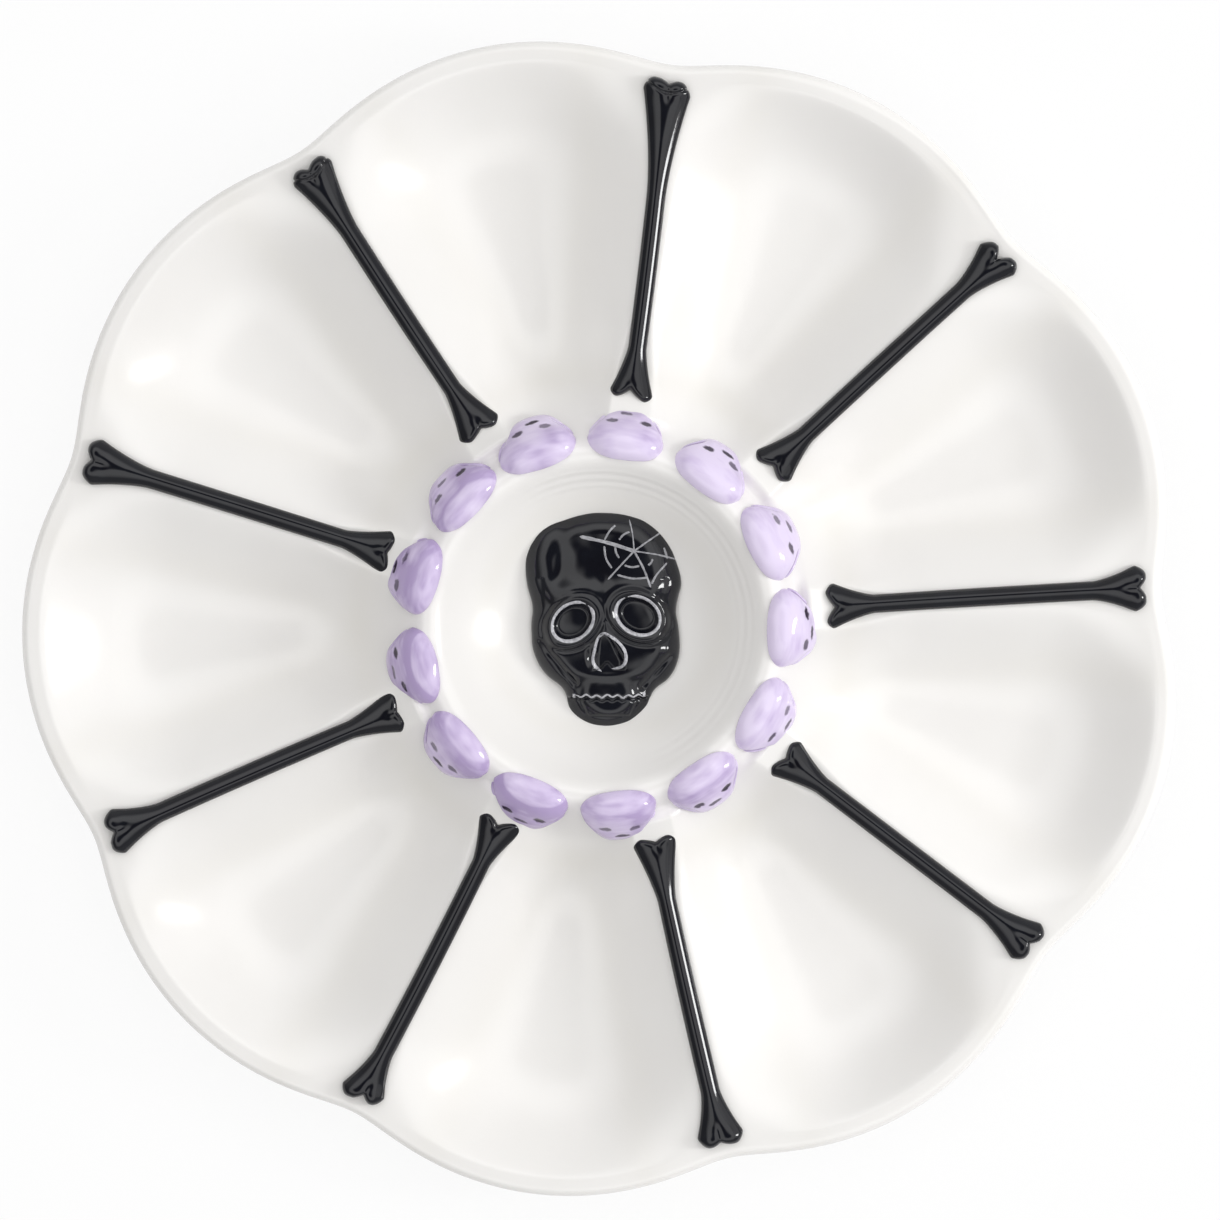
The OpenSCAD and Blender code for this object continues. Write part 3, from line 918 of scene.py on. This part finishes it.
def lilac_tone_with_painted_light_and_shade(p, i, wobble):
    """Tone of the lilac: streaks along the strokes, a slow wash, painted light that makes skulls facing the
    light lighter and the others darker, and a painted shade band below the brow.
    """
    streaks = layered(p / STREAKS + np.array([3.0 * i, 0, 0]), 41 + i)
    wash = layered(p / WASH + 9 * i, 51, 2)
    # Painted shade: a dark band outside the brow, where the dome turns away from the light, darker on skulls
    # away from the light.
    under = p[:, 0] - BROW_SHADE_X + BROW_SHADE_STRAY * wobble[7] + BROW_SHADE_BOW * p[:, 1]**2
    under = under + BROW_SHADE_WASH * (wash - 0.5)
    brow_shade = eased(under / BROW_SHADE_EDGE) * np.exp(-np.clip(under, 0, None) / BROW_SHADE_FADE)
    brow_shade = (0.75 + 0.25 * wobble[5]) * brow_shade
    # Painted light: skulls on the side the light comes from are painted lighter, and those on the far side
    # darker.
    painted_light_share = math.cos(math.radians(i * 360.0 / SKULLS - PAINTED_LIGHT_FROM))
    tone = TONE_BASE + TONE_PAINTED_LIGHT * painted_light_share + TONE_STREAKS * streaks + TONE_WASH * (wash - 0.3)
    return np.clip(tone - (BROW_SHADE_DARK - BROW_SHADE_LIT * painted_light_share) * brow_shade, 0, 1)


def crease_paint(p, i, wobble):
    """Broken dark lines in the grooves beside the face."""
    crease = band(shoulder(p), 0, LINE_HALF)
    crease = crease * eased((np.abs(p[:, 1]) - SHOULDER_SIDE) / LINE_RISE)
    broken = layered(p / LINE_GRAIN + 4 * i, 61) - 0.5
    broken = broken + LINE_LEAN * np.sign(p[:, 1]) * wobble[6]
    return LINE_DARK * crease * eased(broken / LINE_EDGE)


def dab_paint(p, i, wobble):
    """Black dabs for the eyes and the nose, each a little off its place."""
    spread = EYE_AT[1] + 0.4 * wobble[0]
    spots = [(EYE_AT[0] + 0.4 * wobble[1], -spread, EYE_DAB),
             (EYE_AT[0] + 0.4 * wobble[2], spread, EYE_DAB),
             (NOSE_AT[0] + 0.3 * wobble[3], wobble[4], NOSE_DAB)]
    ragged = DAB_RAGGED[0] * (noise(p / DAB_RAGGED[1], 71 + i) - 0.5)
    dab = np.zeros(len(p))
    for k, (x, y, half) in enumerate(spots):
        reach = np.hypot((p[:, 0] - x) / half[0], (p[:, 1] - y) / half[1]) + ragged
        strength = DAB_STRENGTH[0] + DAB_STRENGTH[1] * wobble[k]
        dab = np.maximum(dab, strength * eased((DAB_EDGE[0] - reach) / DAB_EDGE[1]))
    return dab * (p[:, 2] > 0)


def bare_edge(p, i):
    """White where the lilac ends, a little under the collar's surface."""
    wander = BARE_WANDER * (noise(p / BARE_GRAIN, 81 + i) - 0.5)
    return eased((wander - BARE_DEPTH - above_collar(p)) / BARE_FADE)


def skull_marks(p, i):
    """Streaks, painted light and painted shade in the lilac, dark creases, black dabs and bare edges on one
    small skull.
    """
    wobble = wobbles(i, 2.9, 1.3, 8)
    return {"brush_light_and_shade": lilac_tone_with_painted_light_and_shade(p, i, wobble), "crease": crease_paint(p, i, wobble),
            "dab": dab_paint(p, i, wobble), "bare": bare_edge(p, i)}


def make_rim_skulls(material):
    pieces = []
    for i in range(SKULLS):
        points, quads = sculpt(skull_field(i), *SKULL_BOX)
        marks = skull_marks(points, i)
        points = turned(skull_place(points), FIRST_SKULL + i * 360.0 / SKULLS)
        points[:, :2] += RING_SHIFT
        piece = make_mesh(f"rim_skull_form_{i + 1:02d}", points, [quads], material, marks)
        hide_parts(f"rim_skull_{i + 1:02d}")
        pieces.append(piece)
    return pieces


# The large skull: place in the bowl, height, lean, lift of its ends, and foot
BIG_UP = -0.6
BIG_H = 8.5
BIG_LEAN = 0.045
BIG_LIFT = 0.45
BIG_FOOT = 0.8
BIG_ROUND = 4.0
BIG_BOX = ((-24.0, -31.0, -1.4), (24.0, 31.5, 10.5))
BIG_THIN = (0.5, 0.4, 0.6, 2.0, 97)

# Its outline: middle, half size and squareness of each part, and how softly they join
CRANIUM = ((0, 13.1), (21.2, 17.0), 2.3)
CHEEKS = ((0, -4.0), (20.7, 16.2), 2.6)
JAW = ((0, -20.2), (11.7, 9.5), 2.1)
CHEEK_BLEND, JAW_BLEND = 2.5, 3.0


def oval(x, y, middle, half, power):
    """Distance outside an oval that is a little square."""
    across = np.abs((x - middle[0]) / half[0])
    along = np.abs((y - middle[1]) / half[1])
    return ((across**power + along**power)**(1 / power) - 1) * min(half)


def big_outline(x, y):
    """Distance outside the large skull's outline, which leans a little to one side."""
    x = x + BIG_LEAN * y
    upper = smooth_min(oval(x, y, *CRANIUM), oval(x, y, *CHEEKS), CHEEK_BLEND)
    return smooth_min(upper, oval(x, y, *JAW), JAW_BLEND)


# Its features: each eye's middle, half size and turn, then grooves, lips, nose and hills
EYES = ((-8.7, 0.0, 6.2, 4.8, 38.0), (9.2, 1.7, 6.4, 5.0, -30.0))
CHEEK_GROOVES = (((-17.6, -5.5), (-8.0, -17.2)), ((17.8, -9.8), (10.4, -18.0)))
LIPS_Y = -20.6
NOSE_TOP, NOSE_FOOT = -3.3, -13.2
NOSE_EDGE = 1.2
PAIRED_HILLS = ((0.9, (9.5, 8.6), (6.5, 2.4)), (0.8, (15.0, -8.0), (4.5, 3.5)))
SINGLE_HILLS = ((0.7, (0.3, 1.0), (2.0, 4.5)), (-0.6, (-1.0, 11.0), (3.0, 4.0)),
                (-0.8, (-12.5, 16.0), (3.0, 9.0)), (0.4, (0.8, -15.0), (5.5, 1.2)),
                (-0.8, (-3.9, -9.4), (0.9, 2.6)))
GROOVE_DEPTH, GROOVE_HALF = 0.8, 0.9


def eye_reach(x, y, eye):
    """Less than 1 inside an eye, and more than 1 outside it."""
    x, y = rotated(x - eye[0], y - eye[1], -eye[4])
    return np.hypot(x / eye[2], y / eye[3])


def nose_reach(x, y):
    """Less than 1 inside the nose: a point at the top and two lobes at the bottom."""
    t = np.clip((NOSE_TOP - y) / 7.5, 0, 1)
    half = 0.6 + 3.9 * t**0.75
    lower = NOSE_FOOT + 1.8 * band(x, 0.7, 1.2)
    ends = np.maximum((y - NOSE_TOP) / NOSE_EDGE + 1, (lower - y) / NOSE_EDGE + 1)
    return np.maximum(np.abs(x + 0.2 - 1.5 * t) / half, ends)


def groove(x, y, ends, half):
    """1 on the line between two points, and 0 away from it."""
    a, b = np.array(ends[0]), np.array(ends[1])
    way = (b - a) / np.hypot(*(b - a))
    t = np.clip((x - a[0]) * way[0] + (y - a[1]) * way[1], 0, np.hypot(*(b - a)))
    return np.exp(-(((x - a[0] - t * way[0])**2 + (y - a[1] - t * way[1])**2) / half**2))


def eye_relief(x, y, eye):
    """An eye's sunken socket, the raised ring around it and the groove around that."""
    reach = eye_reach(x, y, eye)
    under = eased((eye[1] + 2.5 - y) / 5.0)
    socket = -1.6 * eased((1.02 - reach) / 0.35)
    return socket + 0.45 * band(reach, 1.22, 0.17) - (0.15 + 0.35 * under) * band(reach, 1.5, 0.12)


def mouth_relief(x, y):
    """The groove of the lips, the sunken jaw under it and the raised panel on the jaw."""
    lips = LIPS_Y + 0.3 * np.sin(x * 2.2)
    line = -0.9 * band(y, lips - 0.6, 0.5) * eased(11.5 - np.abs(x - 1))
    panel = np.maximum(np.abs(x - 1.2) - 8.2 - 0.5 * (y + 21.0), np.abs(y + 23.6) - 2.4)
    return line - 0.9 * eased((lips - y) / 1.2) + 0.5 * eased((0.3 - panel) / 0.8)


def big_top(x, y):
    """Height of the large skull's upper side."""
    inside = -big_outline(x, y)
    z = BIG_H - 3.4 * ((x / 25)**2 + ((y - 2) / 34)**2)
    z = z - 1.5 * (1 - eased(inside / 6.0)) - 0.22 * band(inside, 3.4, 0.8) * (y < 12)
    for height, middle, half in PAIRED_HILLS:
        z = z + height * hill(np.abs(x), y, middle, half)
    for height, middle, half in SINGLE_HILLS:
        z = z + height * hill(x, y, middle, half)
    for ends in CHEEK_GROOVES:
        z = z - GROOVE_DEPTH * groove(x, y, ends, GROOVE_HALF)
    for eye in EYES:
        z = z + eye_relief(x, y, eye)
    return z - 1.3 * eased((1.08 - nose_reach(x, y)) / 0.5) + mouth_relief(x, y)


def big_field(p):
    """The form of the large skull, upright in plan on a floor at height 0."""
    x, y, z = p[..., 0], p[..., 1], p[..., 2]
    form = smooth_max(big_outline(x, y) * 0.9, z - big_top(x, y), BIG_ROUND)
    lumps = 0.8 * (noise(p / 9.0, 91) - 0.5) + 0.2 * (noise(p / 3.6, 92) - 0.5)
    return np.maximum(form + lumps, -BIG_FOOT - z)


def big_place(points):
    """Points of the large skull in the bowl, where its ends bend up with the bowl's floor."""
    moved = points + np.array([0, BIG_UP, BOWL_Z])
    moved[:, 2] += BIG_LIFT * bowl_lift(moved[:, 0], moved[:, 1])
    return moved


def make_big_skull(material):
    points, quads = sculpt(big_field, *BIG_BOX)
    thin = thin_patches(points, *BIG_THIN)
    return make_mesh("painted_skull", big_place(points), [quads], material, {"thin": thin})


# White lines painted on the large skull
WEB_MIDDLE = (8.1, 19.4)
WEB_SPOKES = (((-6.8, 23.4), 1.3), ((6.8, 28.0), 0.5), ((15.7, 24.5), 0.6), ((20.3, 16.8), 0.6),
              ((12.7, 9.4), 0.75), ((0.9, 11.6), 0.65))
WEB_THREADS = (((4.0, 22.5), (5.2, 23.9), (6.9, 24.7)), ((2.9, 20.5), (3.2, 18.9), (4.0, 17.5)),
               ((5.5, 15.5), (7.4, 15.0), (9.6, 15.3)), ((12.0, 15.5), (12.8, 16.2), (13.2, 17.2)),
               ((0.0, 22.5), (1.4, 24.9), (3.0, 26.5)), ((-0.1, 20.8), (0.4, 17.4), (2.0, 14.7)),
               ((3.5, 12.9), (7.6, 11.9), (11.9, 12.1)), ((12.9, 10.4), (14.4, 13.0), (17.2, 16.1)),
               ((16.3, 20.3), (16.9, 18.6), (17.3, 17.2)))
NOSE_LINE = ((2.0, -12.9), (4.4, -12.6), (5.8, -10.9), (5.6, -8.1), (3.6, -5.4), (0.9, -3.6), (-0.3, -3.3),
             (-1.8, -4.6), (-2.8, -8.1), (-3.2, -10.7), (-2.4, -12.4), (-0.8, -13.7))
LIPS_SPAN = (-8.2, 10.6)
LIPS_ENDS = ((-8.4, -20.6), (10.9, -20.2))
LIPS_END_HALF = 0.6
EYE_LINE_STARTS = (20, 150)
EYE_LINE_SWEEP = 352

# Width of each kind of line, and how thin its paint is
EYE_PAINT = (1.2, 0.1)
NOSE_PAINT = (1.1, 0.1)
LIPS_PAINT = (0.7, 0.1)
LIPS_END_PAINT = (1.0, 0.0)
SPOKE_THIN = 0.5
THREAD_PAINT = (0.75, 0.6)
SPOKE_BOW = np.array([0.25, 0.3])


def arc(middle, half, turn, start, end, steps):
    """Points along a turned oval, from one angle to another."""
    t = np.radians(np.linspace(start, end, steps))
    x, y = rotated(half[0] * np.cos(t), half[1] * np.sin(t), turn)
    return np.stack([middle[0] + x, middle[1] + y], -1)


def curve_through(corners, steps=12):
    """A smooth line through a few points."""
    p = np.array([corners[0], *corners, corners[-1]], float)
    t = np.linspace(0, 1, steps, endpoint=False)[:, None]
    parts = []
    for a, b, c, d in zip(p, p[1:], p[2:], p[3:]):
        square = 2 * a - 5 * b + 4 * c - d
        cube = 3 * b - a - 3 * c + d
        parts.append(0.5 * (2 * b + (c - a) * t + square * t**2 + cube * t**3))
    return np.concatenate(parts + [p[-1:]])


def painted_lines():
    """Each line as its points, its width and how thin its paint is."""
    lines = []
    for eye, start in zip(EYES, EYE_LINE_STARTS):
        lines.append((arc(eye, eye[2:4], eye[4], start, start + EYE_LINE_SWEEP, 90), *EYE_PAINT))
    lines.append((curve_through(NOSE_LINE), *NOSE_PAINT))
    x = np.linspace(*LIPS_SPAN, 110)
    wavy = LIPS_Y + 0.33 * np.sin(x * 2.17) + 0.12 * np.sin(x * 0.9)
    lines.append((np.stack([x, wavy], -1), *LIPS_PAINT))
    for x, y in LIPS_ENDS:
        upright = y + np.linspace(LIPS_END_HALF, -LIPS_END_HALF, 8)
        lines.append((np.stack([np.full(8, x), upright], -1), *LIPS_END_PAINT))
    middle = np.array(WEB_MIDDLE)
    for end, width in WEB_SPOKES:
        bow = (middle + np.array(end)) / 2 + SPOKE_BOW
        lines.append((curve_through([middle, bow, end], 16), width, SPOKE_THIN))
    for thread in WEB_THREADS:
        lines.append((curve_through(thread, 14), *THREAD_PAINT))
    return lines


STROKE_SECTION = ((-1.0, -0.10), (-0.6, 0.05), (0.0, 0.09), (0.6, 0.05), (1.0, -0.10))
TAPER = (0.06, 0.25)
SHORT_LINE = 20


def stroke(line, width, thin, seed):
    """A ribbon of paint along a line, lying on the large skull."""
    along = np.gradient(line, axis=0)
    along = along / np.clip(np.hypot(along[:, 0], along[:, 1])[:, None], 1e-6, None)
    across = np.stack([-along[:, 1], along[:, 0]], -1)
    share = np.linspace(0, 1, len(line))
    taper = np.clip(np.minimum(share, 1 - share) / TAPER[0], TAPER[1], 1)
    if len(line) <= SHORT_LINE:
        taper = np.ones(len(line))
    ragged = 0.75 + 0.5 * layered(plane(share * 14 + seed, seed * 3.1), seed, 2)
    half = width / 2 * taper * ragged
    rows = []
    for offset, lift in STROKE_SECTION:
        xy = line + across * (offset * half)[:, None]
        rows.append(np.concatenate([xy, (surface_height(xy) + lift)[:, None]], -1))
    points = np.stack(rows, 1)
    fade = np.clip(thin + 0.5 * (layered(plane(share * 9 + 5 * seed, 1.7), seed + 3) - 0.4), 0, 1)
    return points, np.repeat(fade, len(STROKE_SECTION))


SEARCH_SPAN = (-0.5, 12.0)
HALVINGS = 24


def surface_height(xy):
    """Height of the large skull's finished surface over points, found by halving."""
    low = np.full(len(xy), SEARCH_SPAN[0])
    high = np.full(len(xy), SEARCH_SPAN[1])
    for _ in range(HALVINGS):
        middle = (low + high) / 2
        inside = big_field(np.concatenate([xy, middle[:, None]], -1)) < 0
        low = np.where(inside, middle, low)
        high = np.where(inside, high, middle)
    return low


def make_lines(material):
    points, quads, thins = [], [], []
    start = 0
    for seed, (line, width, thin) in enumerate(painted_lines()):
        grid, fade = stroke(line, width, thin, seed + 1)
        n, m = grid.shape[:2]
        a = (np.arange(n - 1)[:, None] * m + np.arange(m - 1)).ravel() + start
        quads.append(np.stack([a + m, a + m + 1, a + 1, a], -1))
        points.append(grid.reshape(-1, 3))
        thins.append(fade)
        start += n * m
    return make_mesh("skull_lines", big_place(np.concatenate(points)), [np.concatenate(quads)], material,
                     {"thin": np.concatenate(thins)})


# The floor: its size, how white it looks, its gap under the foot, tone and roughness
FLOOR_REACH = 3.0
FLOOR_WHITE = 0.88
FLOOR_GAP = 0.2
FLOOR_TONE = (0.9, 0.9, 0.9, 1)
FLOOR_ROUGH = 0.9


def make_floor():
    """A pale floor that looks nearly white and takes a faint shadow."""
    mesh = bpy.data.meshes.new("floor")
    corners = [(-1, -1), (1, -1), (1, 1), (-1, 1)]
    points = [(x * FLOOR_REACH, y * FLOOR_REACH, -FLOOR_GAP * MM) for x, y in corners]
    mesh.from_pydata(points, [], [(0, 1, 2, 3)])
    floor = bpy.data.objects.new("floor", mesh)
    bpy.context.scene.collection.objects.link(floor)
    material, nodes, shader = new_material("floor_white")
    set_inputs(shader, {"Base Color": FLOOR_TONE, "Roughness": FLOOR_ROUGH})
    glow = nodes.new("ShaderNodeEmission")
    set_inputs(glow, {"Color": (1, 1, 1, 1), "Strength": 1.0})
    mix = nodes.new("ShaderNodeMixShader")
    rays = nodes.new("ShaderNodeLightPath").outputs
    seen = combine("MAXIMUM", rays["Is Camera Ray"], rays["Is Glossy Ray"])
    seen = combine("MAXIMUM", seen, rays["Is Transmission Ray"])
    join(combine("MULTIPLY", seen, FLOOR_WHITE), mix.inputs["Fac"])
    join(shader.outputs["BSDF"], mix.inputs[1])
    join(glow.outputs["Emission"], mix.inputs[2])
    join(mix.outputs["Shader"], nodes["Material Output"].inputs["Surface"])
    mesh.materials.append(material)


# Light of the room: all around, to its sides, high up and straight above
ROOM_BASE = 0.32
ROOM_ENDS = 0.26
ROOM_BACK = 0.12
ROOM_RIGHT = 0.08
ROOM_END_POWER = 1.5
ROOM_HIGH = 1.12
HIGH_EDGE = (math.sin(math.radians(34.0)), math.sin(math.radians(54.0)))
DARK_ABOVE = 0.06
DARK_EDGE = (math.cos(math.radians(23.0)), math.cos(math.radians(9.0)))


def make_world():
    """A pale room: brighter to the front and the back, brightest high up, and dark straight above."""
    world = bpy.data.worlds.new("room")
    bpy.context.scene.world = world
    world.use_nodes = True
    nodes = world.node_tree.nodes
    x, y, z = after(nodes.new("ShaderNodeTexCoord").outputs["Generated"], "SeparateXYZ", "Vector").outputs
    ends = combine("POWER", combine("ABSOLUTE", y), ROOM_END_POWER)
    level = combine("MULTIPLY_ADD", ends, ROOM_ENDS, ROOM_BASE)
    level = combine("ADD", level, combine("MULTIPLY", y, ROOM_BACK))
    level = combine("ADD", level, combine("MULTIPLY", x, ROOM_RIGHT))
    high = scaled(z, 0.0, ROOM_HIGH, HIGH_EDGE, "SMOOTHSTEP")
    dark = scaled(z, 1.0, DARK_ABOVE, DARK_EDGE, "SMOOTHSTEP")
    level = combine("MULTIPLY", combine("ADD", level, high), dark)
    join(level, nodes["Background"].inputs["Color"])


# Lamps: height in degrees and distance, then turn, size and power of each
WINDOW_RISE = 27.0
WINDOW_DISTANCE = 1.6
WINDOW = (4.0, (1.40, 1.00), 2.6)
PANE = (-0.5, (0.24, 0.45), 7.4)


def make_lamp(name, turn, size, power):
    """A rectangle of light at the window's height, turned about the plate by an angle from the right."""
    rise, turn = math.radians(WINDOW_RISE), math.radians(turn)
    way = Vector((math.cos(rise) * math.cos(turn), math.cos(rise) * math.sin(turn), math.sin(rise)))
    data = bpy.data.lights.new(name, "AREA")
    data.shape = "RECTANGLE"
    data.size, data.size_y = size
    data.energy = power
    lamp = bpy.data.objects.new(name, data)
    lamp.location = WINDOW_DISTANCE * way
    lamp.rotation_euler = (-way).to_track_quat("-Z", "Y").to_euler()
    bpy.context.scene.collection.objects.link(lamp)


SENSOR_W = 36.0
CLIP_START = 0.05


def make_camera():
    """A camera that sees the plate as the photograph does."""
    data = bpy.data.cameras.new("camera")
    data.sensor_width = SENSOR_W
    data.lens = data.sensor_width * CAMERA_DISTANCE / (IMAGE_PX * MM_PER_PX)
    data.clip_start = CLIP_START
    camera = bpy.data.objects.new("camera", data)
    right = (IMAGE_PX / 2 - MIDDLE_PX[0]) * MM_PER_PX
    up = (MIDDLE_PX[1] - IMAGE_PX / 2) * MM_PER_PX
    aim = Vector((right, up, RIM_H))
    back = Vector((0, math.sin(CAMERA_TILT), math.cos(CAMERA_TILT))) * CAMERA_DISTANCE
    camera.location = (aim + back) * MM
    camera.rotation_euler = (-CAMERA_TILT, 0, 0)
    bpy.context.scene.collection.objects.link(camera)
    bpy.context.scene.camera = camera


def main():
    white, black, lilac = (glaze(name) for name in ("white_glaze", "black_glaze", "lilac_glaze"))
    dish = make_dish(white)
    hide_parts("plate_body", "dip_bowl")
    foot = make_foot(bare_clay())
    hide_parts("foot_ring")
    big = make_big_skull(black)
    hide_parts("centre_skull")
    lines = make_lines(glaze("line_paint"))
    bones = make_bones(black)
    skulls = make_rim_skulls(lilac)
    slots = [("white_glaze", [dish, lines]), ("bare_clay", [foot]),
             ("black_glaze", [big, *bones]), ("lilac_glaze", skulls)]
    for slot, pieces in slots:
        for piece in pieces:
            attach(piece, "root")
    make_floor()
    make_world()
    make_lamp("window", *WINDOW)
    make_lamp("pane", *PANE)
    make_camera()
    bpy.context.scene.view_settings.view_transform = "Standard"


main()
